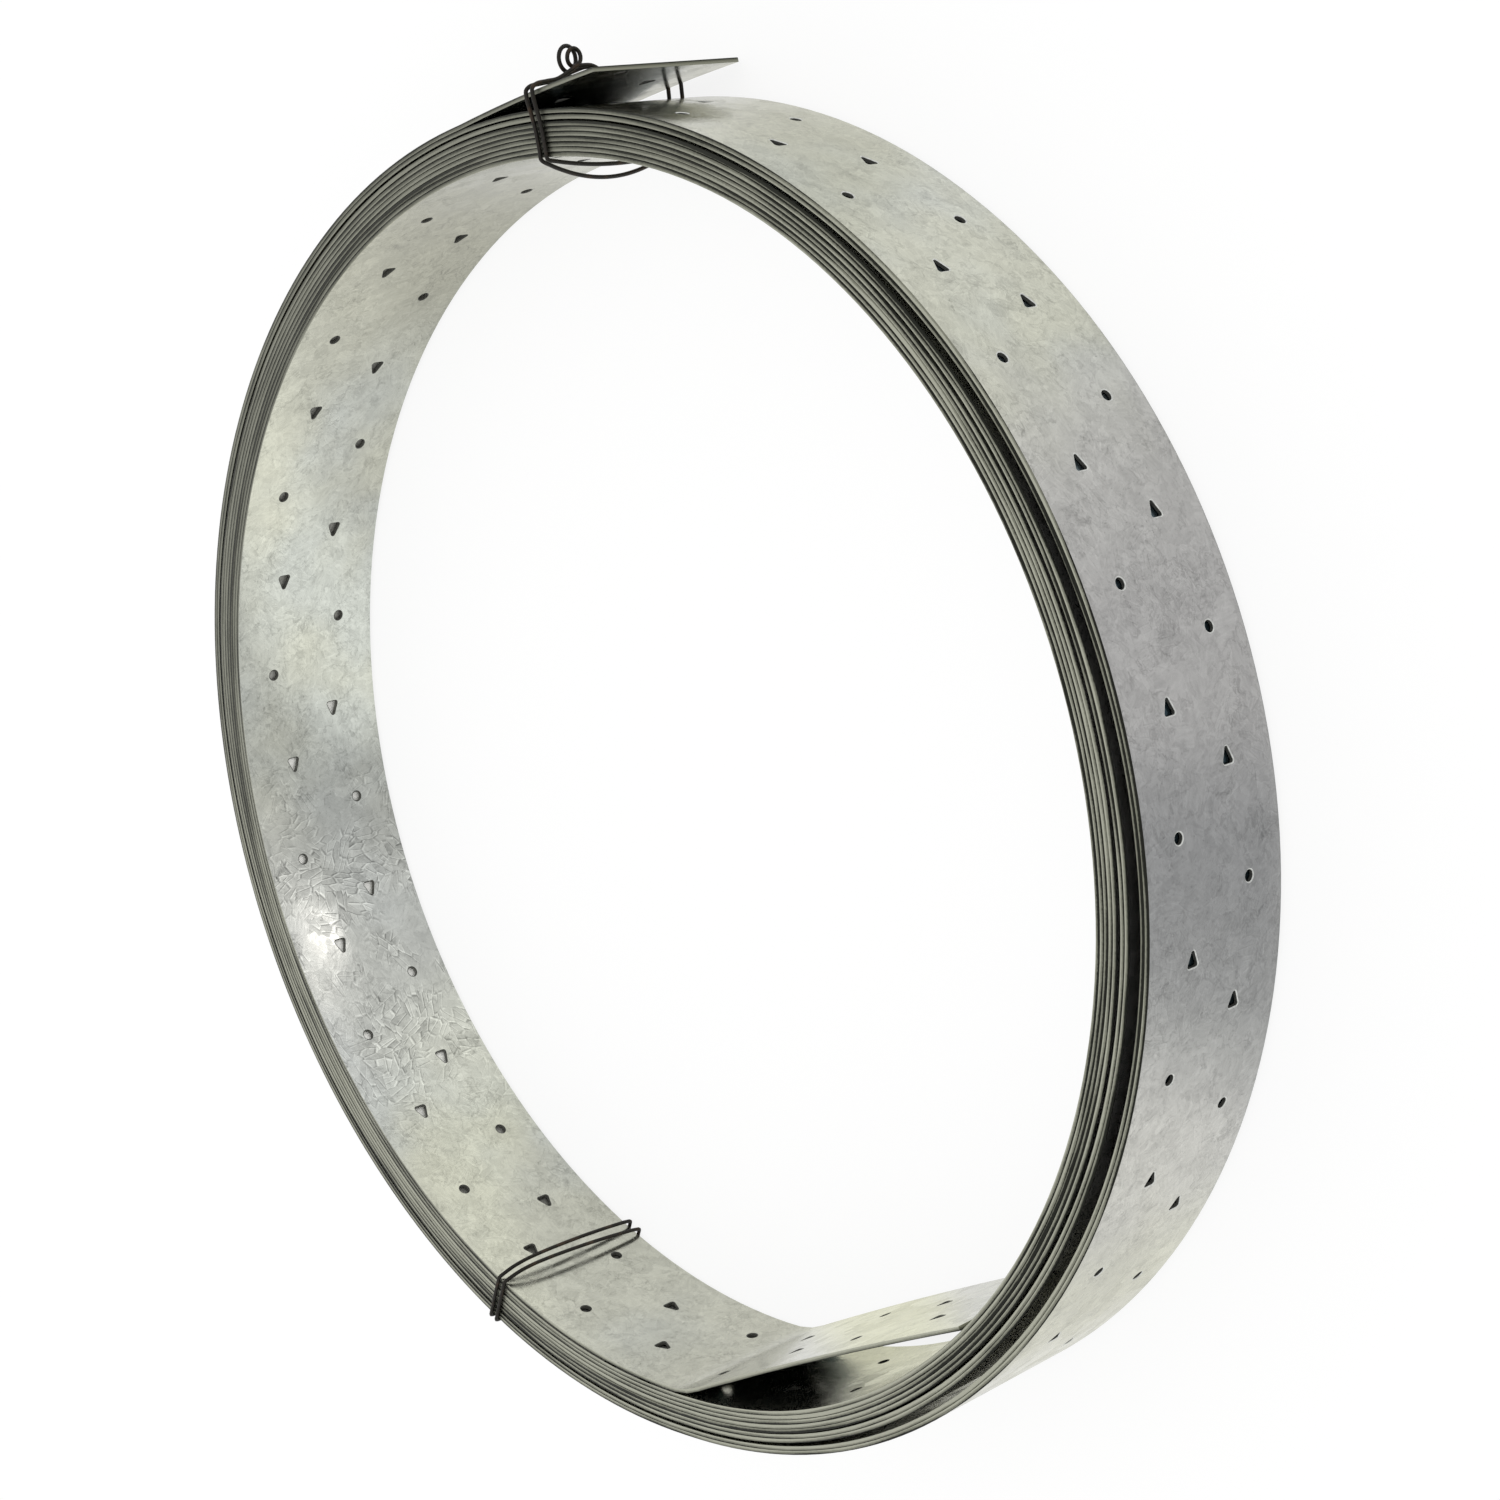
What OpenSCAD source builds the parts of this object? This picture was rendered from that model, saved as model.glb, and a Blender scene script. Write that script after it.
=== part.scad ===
// Coil of galvanized steel strap with nail holes, lying on its end and held by two tie wires.
// Millimetres, +Z up. The coil's axis is upright and the origin is on the floor, under the middle of its box.
// Angles around the coil are clockwise from +Y, seen from above.

/* [Strap] */
// Width of the strap
strap_w = 76.2; // [60:0.1:100]
// Thickness of the strap, zinc included
strap_t = 1.9; // [1.5:0.05:2.2]

/* [Winding] */
// Radius of the rim, to the right of the strap's outer end
rim_r = 276; // [240:1:320]
// Depth of the winding from the rim to the bore, along Y
depth_y = 18; // [17.8:0.1:20]
// Depth of the winding to the right, with its gaps
depth_right = 23.2; // [22:0.1:26]
// Depth of the winding to the left
depth_left = 18.3; // [18:0.1:20]
// Turns in the inner pack, below the loose gap
inner_turns = 7; // [5:1:7]
// Turns in the outer band, above the loose gap
band_turns = 2; // [1:1:2]
// Air between two turns of the outer band
band_play = 0.1; // [0.05:0.05:0.3]
// Width of the loose gap at the right of the coil
slack_gap = 3.6; // [2:0.1:5]
// Width of the smaller gap inside the inner pack, at the right
pack_gap = 0.9; // [0.4:0.1:1.5]
// Number of inner turns below that smaller gap
pack_gap_turn = 5; // [2:1:5]
// Width of the dark line between two turns
line_w = 0.3; // [0.2:0.05:0.5]
// Depth of the line between two turns
line_depth = 5; // [2:0.5:10]

/* [Outer end] */
// Angle where the outer end springs off the coil
tail_angle = -17.6; // [-40:0.2:-10]
// Length of the sprung outer end
tail_l = 86; // [70:1:120]
// Part of the outer end that still lies on the turn below
tail_seat = 8; // [6:0.5:10]

/* [Inner end] */
// Angle of the bend where the inner end leaves the bore
bend_angle = 170.4; // [165:0.2:176]
// Angle of the inner end from the X axis
chord_slope = 31; // [29:0.2:33]
// Space between the inner end's cut edge and the bore
chord_gap = 0.3; // [0.1:0.1:2]

/* [Nail holes] */
// Distance from one hole to the next along the strap
hole_pitch = 22.4; // [20:0.1:26]
// Diameter of the round holes
round_d = 4.3; // [3:0.1:6]
// Distance of the round holes from the strap's middle
round_side = 19.05; // [15:0.05:24]
// Length of the triangular holes along the strap
tri_l = 6.4; // [5:0.1:8]
// Width of the triangular holes
tri_w = 5.2; // [4:0.1:7]
// Corner radius of the triangular holes
tri_r = 0.9; // [0.4:0.1:1.2]
// Distance of the triangular holes from the strap's middle
tri_side = 13.1; // [9:0.1:16]
// Distance of the last hole from the outer cut edge
tail_hole_end = 6; // [4:0.5:10]
// Distance of the first hole on the inner end from its bend
chord_hole_start = 6; // [4:0.5:10]

/* [Tie wires] */
// Diameter of the tie wire
wire_d = 1.5; // [1:0.1:2]
// Space between a wire and the strap that it holds
wire_seat = 0.3; // [0.2:0.05:0.5]
// Half the distance between the two strands of a tie
strand_side = 1.9; // [1.6:0.1:3]
// Angle of the upper tie
upper_tie = -7.6; // [-12:0.2:-5]
// Angle of the lower tie
lower_tie = 197.3; // [190:0.2:215]
// Sag of the upper tie's tight strand below the bore
tight_sag = 4; // [2:0.5:6]
// Sag of the upper tie's slack strand below the bore
slack_sag = 10; // [6:0.5:14]
// Rise of the lower tie's strands above the bore
lower_rise = 3; // [1.5:0.5:6]
// Reach of a tie's hooked ends past its bight
hook_l = 6; // [5:0.5:8]
// Half the width of a tie's bight
bight_side = 3; // [2.8:0.1:4]
// Height of the curled eye on the upper tie
eye_h = 14; // [10:0.5:20]
// Width of the curled eye
eye_w = 12; // [8:0.5:14]
// Height of the eye above the strap's middle
eye_y = 18; // [16:0.5:25]

/* [Hidden] */
$fn = 180;
zinc = [0.70, 0.71, 0.68];
annealed = [0.16, 0.14, 0.12];
far = 4 * rim_r;

// The coil lies on its tie wires, and the strap's middle is this high.
base_h = wire_d + wire_seat;
mid_h = base_h + strap_w / 2;

// Winding: a face of a turn is given by its reach along Y, to the right (+X) and to the left.
bore_top = rim_r - depth_y;
bore_right = rim_r - depth_right;
bore_left = rim_r - depth_left;
band_pitch = strap_t + band_play;
band_in = rim_r - band_turns * band_pitch;
pack_top = (band_in - bore_top) / inner_turns;
pack_left = (band_in - bore_left) / inner_turns;
pack_right = (band_in - slack_gap - bore_right) / inner_turns;
bore_face = [bore_top, bore_right, bore_left];
pack_step = [pack_top, pack_right, pack_left];
pack_face = [band_in - line_w, band_in - slack_gap, band_in - line_w];
band_face = [band_in, band_in, band_in];
band_step = [band_pitch, band_pitch, band_pitch];

// The outer turn is a spiral of two half circles: the left one is half a thickness larger
// and its centre lies half a thickness towards the sprung end.
tail_dir = [sin(tail_angle), cos(tail_angle)];
left_r = rim_r + strap_t / 2;

// Direction of the bore's bend, seen from the axis, and of the straight inner end
bend_dir = [sin(bend_angle), cos(bend_angle)];
chord_dir = [cos(chord_slope), sin(chord_slope)];

// A wire's middle lies this far out from the strap, and its strands this far from the strap's middle.
wire_out = wire_d / 2 + wire_seat;
face_y = strap_w / 2 + wire_out;
// A strand's step over another wire, and the radius of its bends
wire_step = wire_d + wire_seat;
wire_bend = wire_d;
// Points of a strand in the bore
sag_steps = 6;
// The upper tie lies this far out over the sprung end, and its eye reaches furthest along +Y.
upper_lean = upper_tie - tail_angle;
upper_top = (rim_r + strap_t) / cos(upper_lean) + wire_out + bight_side * sin(upper_lean);
eye_reach = cos(upper_tie) * (upper_top + eye_h + wire_d / 2);
// Place of the coil's axis, which puts the box's middle over the origin
axis_y = (rim_r - eye_reach) / 2;
// Sides of a wire's section, and a direction that no wire follows, from which the sides are counted
wire_sides = 8;
frame_hint = [0.31, 0.52, 0.79];
// The tail's holes start this little below its underside, so that they don't bite the turn under it.
hole_over = 0.1;

function unit(v) = v / norm(v);
function centre_of(top, side) = (side * side - top * top) / (2 * side);
// Distance from the axis to the arc through both reaches along Y and one side reach, at an angle
function arc_reach(top, side, angle) =
  let (c = centre_of(top, side), r = abs(side - c))
  c * sin(angle) + sqrt(r * r - pow(c * cos(angle), 2));
function face_reach(face, angle) = arc_reach(face[0], sin(angle) >= 0 ? face[1] : -face[2], angle);
// Reach of the rim, one strap thickness larger where the sprung end leaves it
function rim_reach(angle) =
  sin(angle - tail_angle) >= 0 ? rim_r : rim_r + strap_t * (1 + cos(angle - tail_angle)) / 2;

// The inner end starts at its bend and reaches across to the right of the bore, where its cut edge stops short.
chord_start = bend_dir * face_reach(bore_face, bend_angle);
chord_l = 2 * chord_dir * ([centre_of(bore_top, bore_right), 0] - chord_start) - chord_gap;

// Disc inside a turn's face: where two circles overlap, one through each side reach
module disc(face) {
  if (face[1] == face[0] && face[2] == face[0])
    circle(r = face[0]);
  else
    intersection_for(side = [face[1], -face[2]])
      translate([centre_of(face[0], side), 0]) circle(r = abs(side - centre_of(face[0], side)));
}

module thin_line(face, w) {
  difference() {
    disc([for (i = [0:2]) face[i] + w[i] / 2]);
    disc([for (i = [0:2]) face[i] - w[i] / 2]);
  }
}

// Lines between the turns, as they show on both ends of the coil
module turn_lines() {
  for (j = [1:inner_turns - 1])
    thin_line(bore_face + j * pack_step, [line_w, j == pack_gap_turn ? pack_gap : line_w, line_w]);
  for (j = [1:band_turns - 1])
    thin_line(band_face + j * band_step, [line_w, line_w, line_w]);
  difference() {
    disc(band_face);
    disc(pack_face);
  }
}

// The loose gap between the inner pack and the outer band, open from end to end on the right
module loose_gap() {
  intersection() {
    difference() {
      disc(band_face);
      disc(pack_face);
    }
    translate([0, -far]) square([far, 2 * far]);
  }
}

// Left half of the outer turn, up to where the outer end springs off
module rim_left() {
  rotate(-tail_angle)
    intersection() {
      translate([0, strap_t / 2]) circle(r = left_r);
      translate([-far, -far]) square([far, 2 * far]);
    }
}

module outer_end() {
  rotate(-tail_angle)
    translate([0, rim_r]) {
      square([tail_l, strap_t]);
      translate([0, -strap_t]) square([tail_seat, 2 * strap_t]);
    }
}

// Straight inner end: its upper face starts at the bend on the bore
module inner_end() {
  translate(chord_start)
    rotate(chord_slope) {
      translate([0, -strap_t]) square([chord_l, strap_t]);
      translate([0, -strap_t]) circle(r = strap_t);
    }
}

module wound_outline() {
  difference() {
    union() {
      circle(r = rim_r);
      rim_left();
    }
    disc(bore_face);
    loose_gap();
  }
  outer_end();
  inner_end();
}

module strap_slice(h) {
  translate([0, 0, mid_h]) linear_extrude(height = h, center = true) children();
}

module ends() {
  for (side = [-1, 1])
    translate([0, 0, side * (strap_w - line_depth) / 2]) children();
}

// Nail hole drawn flat: kinds 0 and 3 are round, 1 and 2 are triangles; 0 and 2 lie below the middle
function hole_h(kind) = mid_h + [-round_side, tri_side, -tri_side, round_side][kind];

module hole_outline(kind) {
  if (kind == 0 || kind == 3)
    circle(d = round_d, $fn = 32);
  else
    rotate(180) triangle_outline();
}

// Triangle with round corners, its point towards +X
module triangle_outline() {
  tips = [
    [tri_l / 2 - tri_r, 0],
    [tri_r - tri_l / 2, tri_w / 2 - tri_r],
    [tri_r - tri_l / 2, tri_r - tri_w / 2]
  ];
  lean = atan2(tips[0][0] - tips[1][0], tips[1][1]);
  starts = [-lean, lean, 180];
  sweeps = [2 * lean, 180 - lean, 180 - lean];
  polygon([for (i = [0:2]) for (k = [0:3])
    tips[i] + tri_r * [cos(starts[i] + sweeps[i] * k / 3), sin(starts[i] + sweeps[i] * k / 3)]]);
}

// Holes are drilled along +Y from a place on the strap, at the height of their kind.
module drilled(kind, l) {
  rotate([-90, 0, 0]) linear_extrude(height = l) hole_outline(kind);
}

// A hole through the turn that lies around a radius at an angle around the coil
module turn_hole(kind, angle, r) {
  rotate(-angle)
    translate([0, r - strap_t, hole_h(kind)]) drilled(kind, 2 * strap_t);
}

// Holes seen on the rim: they run back from the sprung end
module rim_holes() {
  first = (tail_l - tail_hole_end) / hole_pitch;
  skip = ceil(first);
  step = hole_pitch / (rim_r + strap_t / 2) * 180 / PI;
  count = floor(360 / step);
  for (i = [skip:skip + count - 1]) {
    angle = 360 + tail_angle - (i - first) * step;
    turn_hole(3 - i % 4, angle, rim_reach(angle));
  }
}

// Holes seen in the bore: they run on from the bend
module bore_holes() {
  step = hole_pitch / ((bore_left + bore_top) / 2) * 180 / PI;
  start = bend_angle + (hole_pitch - chord_hole_start) / hole_pitch * step;
  count = floor(360 / step);
  for (i = [0:count - 1]) {
    angle = start + i * step;
    turn_hole(i % 4, angle, face_reach(bore_face, angle));
  }
}

module tail_holes() {
  last = tail_l - tail_hole_end;
  for (i = [0:floor((last - tail_seat - round_d) / hole_pitch)])
    rotate(-tail_angle)
      translate([last - i * hole_pitch, rim_r - hole_over, hole_h(3 - i % 4)])
        drilled(3 - i % 4, 2 * strap_t);
}

module chord_holes() {
  for (i = [0:floor((chord_l - chord_hole_start - round_d) / hole_pitch)]) {
    kind = (11 - i) % 4;
    at = chord_start + chord_dir * (chord_hole_start + i * hole_pitch);
    translate([at[0], at[1], hole_h(kind)])
      rotate(chord_slope)
        translate([0, -2 * strap_t, 0])
          rotate([0, 180, 0]) drilled(kind, 3 * strap_t);
  }
}

module strap() {
  color(zinc)
    translate([0, axis_y, 0]) difference() {
      union() {
        strap_slice(strap_w - 2 * line_depth) wound_outline();
        ends() strap_slice(line_depth)
          difference() {
            wound_outline();
            difference() {
              turn_lines();
              inner_end();
            }
          }
      }
      rim_holes();
      bore_holes();
      tail_holes();
      chord_holes();
    }
}

// A tie's points are [along the rim, down the strap from its middle, out from the axis] at its angle.
function placed(angle, p) = [
  sin(angle) * p[2] + cos(angle) * p[0],
  cos(angle) * p[2] - sin(angle) * p[0],
  mid_h - p[1]
];

// Path with its corners rounded, and the tube that is swept along it
function bend_points(a, b, c, r) =
  let (
    reach = min(r, norm(a - b) / 2, norm(c - b) / 2),
    p = b + unit(a - b) * reach,
    q = b + unit(c - b) * reach
  )
  [for (k = [0:3]) let (t = k / 3) p * (1 - t) * (1 - t) + b * 2 * t * (1 - t) + q * t * t];
function rounded(points, r) = concat(
  [points[0]],
  [for (i = [1:len(points) - 2]) each bend_points(points[i - 1], points[i], points[i + 1], r)],
  [points[len(points) - 1]]
);
function side_of(dir, hint) = unit(hint - dir * (hint * dir));
function sides_along(dirs, hint, i = 0) =
  i == len(dirs) ? [] : let (s = side_of(dirs[i], hint)) concat([s], sides_along(dirs, s, i + 1));

module tube(points, d) {
  n = len(points);
  sides = wire_sides;
  dirs = [for (i = [0:n - 1]) unit(points[min(i + 1, n - 1)] - points[max(i - 1, 0)])];
  across = sides_along(dirs, frame_hint);
  skin = [for (i = [0:n - 1]) for (k = [0:sides - 1]) let (turn = 360 * k / sides)
    points[i] + d / 2 * (cos(turn) * across[i] + sin(turn) * cross(dirs[i], across[i]))];
  walls = [for (i = [0:n - 2]) for (k = [0:sides - 1])
    [i * sides + k, (i + 1) * sides + k, (i + 1) * sides + (k + 1) % sides, i * sides + (k + 1) % sides]];
  polyhedron(
    points = skin,
    faces = concat(
      [[for (k = [0:sides - 1]) k]],
      walls,
      [[for (k = [sides - 1:-1:0]) (n - 1) * sides + k]]
    ),
    convexity = 10
  );
}

function reversed(list) = [for (i = [len(list) - 1:-1:0]) list[i]];

// Curl of one strand, standing on the outside of the coil
function curl(side, top) = [for (turn = [30:30:330]) [
  side * wire_step * (1 / 2 + turn / 360),
  -eye_y - eye_w / 2 * sin(turn),
  top + eye_h / 2 * (1 - cos(turn))
]];

// A strand in the bore, from the upper end of the coil to the lower one
function sagging(a, bore, sag) = [for (k = [1:sag_steps - 1]) let (t = 2 * k / sag_steps - 1)
  [a, t * face_y, bore - sag * (1 - t * t)]];

// One side of a doubled tie. Its cut end folds back over the bight and passes under it, then the strand runs
// over the upper end, through the bore and out under the lower end to the bight.
function tie_side(side, top, bore, sag, front) = concat(
  [
    [side * wire_step / 2, -hook_l, top + 2 * wire_step],
    [side * wire_step / 2, hook_l, top + 2 * wire_step],
    [side * wire_step / 2, hook_l, top],
    [side * wire_step / 2, -hook_l, top]
  ],
  front,
  [
    [side * strand_side, -face_y, top],
    [side * strand_side, -face_y, bore]
  ],
  sagging(side * strand_side, bore, sag),
  [
    [side * strand_side, face_y, bore],
    [side * strand_side, face_y, top],
    [side * strand_side, hook_l + 2 * wire_step, top],
    [side * bight_side, hook_l, top],
    [side * bight_side, 0, top + wire_step]
  ]
);

module tie(angle, left, right) {
  points = rounded(concat(left, reversed(right)), wire_bend);
  color(annealed)
    translate([0, axis_y, 0]) tube([for (p = points) placed(angle, p)], wire_d);
}

module upper_tie_wire() {
  bore = face_reach(bore_face, upper_tie) - wire_out;
  tie(
    upper_tie,
    tie_side(-1, upper_top, bore, slack_sag, curl(-1, upper_top)),
    tie_side(1, upper_top, bore, tight_sag, curl(1, upper_top))
  );
}

module lower_tie_wire() {
  top = rim_reach(lower_tie) + wire_out;
  bore = face_reach(bore_face, lower_tie) - wire_out;
  tie(
    lower_tie,
    tie_side(-1, top, bore, lower_rise, []),
    tie_side(1, top, bore, lower_rise, [])
  );
}

strap();
upper_tie_wire();
lower_tie_wire();
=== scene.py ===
import math
import bmesh
import bpy
import numpy as np
from mathutils import Matrix, Vector
from mathutils.geometry import delaunay_2d_cdt


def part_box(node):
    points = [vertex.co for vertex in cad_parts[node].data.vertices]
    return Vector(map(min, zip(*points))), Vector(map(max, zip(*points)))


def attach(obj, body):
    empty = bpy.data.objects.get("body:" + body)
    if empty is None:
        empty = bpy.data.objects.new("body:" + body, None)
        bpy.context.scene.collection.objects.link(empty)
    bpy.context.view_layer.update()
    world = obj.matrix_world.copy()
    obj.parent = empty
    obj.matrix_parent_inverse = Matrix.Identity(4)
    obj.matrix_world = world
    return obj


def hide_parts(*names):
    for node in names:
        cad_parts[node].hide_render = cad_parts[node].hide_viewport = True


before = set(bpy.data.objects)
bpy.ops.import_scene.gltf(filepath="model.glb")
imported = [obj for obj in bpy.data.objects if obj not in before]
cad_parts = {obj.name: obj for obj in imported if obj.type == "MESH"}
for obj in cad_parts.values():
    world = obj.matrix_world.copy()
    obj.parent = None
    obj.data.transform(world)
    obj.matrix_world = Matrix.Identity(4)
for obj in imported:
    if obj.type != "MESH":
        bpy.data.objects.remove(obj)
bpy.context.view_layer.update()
mm = 0.001
fullTurn = 6.28  # radians
strapLow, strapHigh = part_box("strap")
axisY = strapLow.y + strapHigh.x  # the coil's axis stands at x = 0


def turned(deg):
    return math.sin(math.radians(deg)), math.cos(math.radians(deg))


def around(deg, radius, along=0.0):  # degrees run clockwise from +Y, seen from above
    sine, cosine = turned(deg)
    return Vector((sine * radius + cosine * along, axisY + cosine * radius - sine * along))


# the strap's run, from its inner cut end to its outer one
strap = {
    "width": strapHigh.z - strapLow.z, "low": strapLow.z, "thick": 1.84 * mm,
    "bore": 257.9 * mm,        # inner face of the first turn where it is round
    "dent": 8.2 * mm,          # the first turns lie flatter on the right
    "dentAt": 87, "dentEdge": 0.35, "dentSoft": 0.12,
    "swells": [(205, 60, -1.1 * mm), (318, 50, -1.1 * mm)],  # (degrees, half width, further out)
    "bendAt": 170.4,           # where the inner end bends away from the bore
    "startStep": 2.3 * mm, "startFade": 35,  # the first turn starts further in
    "bendReach": 7 * mm, "bendSteps": 8,
    "endAt": 129.8, "endClear": 1.95 * mm, "endBow": 1.4 * mm, "endSteps": 170,
    "turns": 9, "stepsPerTurn": 1440,
    "tailAt": 342.4, "tailLength": 86 * mm, "tailBow": 0.9 * mm, "tailSteps": 90,
    # gaps between turns, in degrees of the whole winding
    "play": 0.075 * mm, "playSwing": 0.025 * mm,
    "playUneven": 0.35, "playWaves": (0.57, 0.83), "playShift": 40,
    "looseAt": 2610, "loose": 4.0 * mm, "looseEdge": 0.4,
    "darkLine": 0.85 * mm, "darkFrom": 2480, "darkTo": 2905, "darkFade": 60,
    "packAt": 1890, "packGap": 1.35 * mm, "packEdge": 0.3,
    "liftAt": 190, "lift": 0.9 * mm, "liftWide": 20,
    # holes, from one to the next on the inner and on the outer turn
    "cell": 22.455 * mm, "bendHole": 5.5 * mm, "outerCell": 22.288 * mm, "endHole": 6 * mm,
    "endMargin": 0.5 * mm,     # no cut across the strap nearer to its ends
    "lip": 0.45 * mm, "lipDrop": 0.26 * mm,  # rolled edge round a punched hole
    "roundSide": 19.05 * mm, "roundRadius": 2.25 * mm, "roundSteps": 22,
    "pointSide": 13.1 * mm, "pointLong": 6.3 * mm, "pointWide": 5.6 * mm,
    "pointCorner": 0.9 * mm, "pointSlope": 112, "cornerSteps": 5,
    "burr": 0.12 * mm, "rollover": 0.42 * mm, "rollSteps": (0, 30, 60, 90), "sharp": 38,
    # lengths of strap, in turns of the bore
    "outerTurns": 1.08,        # with holes, from the outer end back
    "coverTurns": (2.173, 1.077),  # covered by the next turn, from the outer end back
    "underTurns": (0.99, 2.05),    # behind the first turn, from the bend on
}


def softRamp(value, soft):
    return (value + math.sqrt(value * value + soft * soft)) / 2


def hump(deg, centre, edge, soft=0.1):  # about 1 at its centre, about 0 beyond the edge
    if abs(deg - centre) > 180:
        return 0.0
    return softRamp(turned(deg - centre)[1] - edge, soft) / (1 - edge)


def swell(deg, centre, half):  # 1 at its centre, 0 from half away, every turn
    aside = (deg - centre + 180) % 360 - 180
    return 0.5 + 0.5 * turned(180 * aside / half)[1] if abs(aside) < half else 0.0


def boreFace(deg):
    dent = strap["dent"] * softRamp(turned(deg - strap["dentAt"])[1] - strap["dentEdge"], strap["dentSoft"])
    dent -= sum(more * swell(deg, centre, half) for centre, half, more in strap["swells"])
    return strap["bore"] - dent - strap["startStep"] * math.exp((strap["bendAt"] - deg) / strap["startFade"])


def looseness(deg):  # gap from a turn to the next one out
    gap = strap["play"] + strap["playSwing"] * turned(2 * deg)[1]
    slow, quick = strap["playWaves"]
    gap *= 1 + strap["playUneven"] * turned(slow * deg)[0] * turned(quick * deg + strap["playShift"])[0]
    gap += strap["loose"] * hump(deg, strap["looseAt"], strap["looseEdge"])
    gap += strap["packGap"] * hump(deg, strap["packAt"], strap["packEdge"])
    gap += strap["lift"] * math.exp(-((deg - strap["liftAt"]) / strap["liftWide"]) ** 2)
    fromStart, toEnd = deg - strap["darkFrom"], strap["darkTo"] - deg
    rise = np.clip(fromStart / strap["darkFade"], 0, 1) * np.clip(toEnd / strap["darkFade"], 0, 1)
    return gap + strap["darkLine"] * float(rise)


def windingFaces():
    perTurn = strap["stepsPerTurn"]
    count = int((strap["tailAt"] + 360 * strap["turns"] - strap["bendAt"]) / 360 * perTurn)
    degs = [strap["bendAt"] + 360 * i / perTurn for i in range(count + 1)]
    radii = []
    for i, deg in enumerate(degs):
        if i < perTurn:
            radii.append(boreFace(deg))
        else:
            radii.append(radii[i - perTurn] + strap["thick"] + looseness(deg - 360))
    return degs, radii


def bowed(start, end, bow, steps):  # straight run with a slight bow to its left
    side = Vector((-(end - start).y, (end - start).x)).normalized() * bow
    return [start.lerp(end, i / steps) + side * 4 * (i / steps) * (1 - i / steps) for i in range(steps + 1)]


degs, radii = windingFaces()
wound = [around(deg, radius) for deg, radius in zip(degs, radii)]
bend = wound[0]
innerCut = around(strap["endAt"], boreFace(360 + strap["endAt"]) - strap["endClear"])
chord = bowed(innerCut, bend, -strap["endBow"], strap["endSteps"])
reach, quarterTurn = strap["bendReach"], strap["stepsPerTurn"] // 4
chord = [p for p in chord if (p - bend).length > reach]
wound = [p for i, p in enumerate(wound) if i > quarterTurn or (p - bend).length > reach]
bendParts = [i / strap["bendSteps"] for i in range(1, strap["bendSteps"])]
fillet = [chord[-1].lerp(bend, t).lerp(bend.lerp(wound[0], t), t) for t in bendParts]
tailWay = (wound[-1] - wound[-2]).normalized()
tail = bowed(wound[-1], wound[-1] + tailWay * strap["tailLength"], strap["tailBow"], strap["tailSteps"])
run = np.array([tuple(p) for p in chord + fillet + wound + tail[1:]])
runLength = np.concatenate([[0], np.cumsum(np.linalg.norm(np.diff(run, axis=0), axis=1))])
runWay = np.gradient(run, runLength, axis=0)
runOut = np.stack([-runWay[:, 1], runWay[:, 0]], 1) / np.linalg.norm(runWay, axis=1)[:, None]
fullLength = runLength[-1]
bendLength = runLength[len(chord) + len(fillet) // 2]
print("strap run", round(fullLength, 3), "m, inner face at the tail", round(radii[-1] / mm, 2))


def onStrap(along, depth, high):  # along the run, out through the thickness, up the width
    x = np.interp(along, runLength, run[:, 0]) + np.interp(along, runLength, runOut[:, 0]) * depth
    y = np.interp(along, runLength, run[:, 1]) + np.interp(along, runLength, runOut[:, 1]) * depth
    return np.stack([x, y, strap["low"] + high], -1)


def holeOutline(kind, wider=0.0):  # 0 round low, 1 pointed high, 2 pointed low, 3 round high
    aside = strap["roundSide"] if kind in (0, 3) else strap["pointSide"]
    high = strap["width"] / 2 + (1 if kind in (1, 3) else -1) * aside
    outline = []
    if kind in (0, 3):
        steps, radius = strap["roundSteps"], strap["roundRadius"] + wider
        for i in range(steps):
            sine, cosine = turned(360 * i / steps)
            outline.append((radius * cosine, high + radius * sine))
        return outline
    corner, slope, steps = strap["pointCorner"], strap["pointSlope"], strap["cornerSteps"]
    back, side = strap["pointLong"] / 2 - corner, strap["pointWide"] / 2 - corner
    corner += wider
    for u, v, first, last in ((back, side, 0, slope), (-back, 0, slope, 360 - slope),
                              (back, -side, 360 - slope, 360)):
        for i in range(steps + 1):
            sine, cosine = turned(first + (last - first) * i / steps)
            outline.append((u + corner * cosine, high + v + corner * sine))
    return outline


def insideOutline(point, outline):
    inside = False
    for (u0, v0), (u1, v1) in zip(outline, outline[1:] + outline[:1]):
        if (v0 > point[1]) != (v1 > point[1]) and point[0] < u0 + (point[1] - v0) / (v1 - v0) * (u1 - u0):
            inside = not inside
    return inside


def piercedPanel(kind, half, low, high):  # a panel of the face, cut round its hole
    outline = holeOutline(kind, strap["lip"])
    corners = [(-half, low), (half, low), (half, high), (-half, high)]
    points = [Vector(p) for p in corners + outline]
    edges = [(i, (i + 1) % 4) for i in range(4)]
    edges += [(4 + i, 4 + (i + 1) % len(outline)) for i in range(len(outline))]
    closeBy = 1e-7  # points nearer than this are one
    cut = delaunay_2d_cdt(points, edges, [], 0, closeBy)
    triangles = [[cut[3][v][0] for v in f] for f in cut[2]]
    middle = [sum((points[v] for v in f), Vector((0, 0))) / 3 for f in triangles]
    return outline, [f for f, m in zip(triangles, middle) if not insideOutline(m, outline)]


def strapSection():  # across the strap: sheared edges, sharp inside and rolled over outside
    w, t, burr, roll = strap["width"], strap["thick"], strap["burr"], strap["rollover"]
    upper = [(burr, w)]
    for deg in strap["rollSteps"]:
        sine, cosine = turned(deg)
        upper.append((t - roll + roll * sine, w - roll + roll * cosine))
    lower = [(depth, w - high) for depth, high in reversed(upper)]
    return [(0.0, burr), (0.0, w - burr)] + upper + lower


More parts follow.
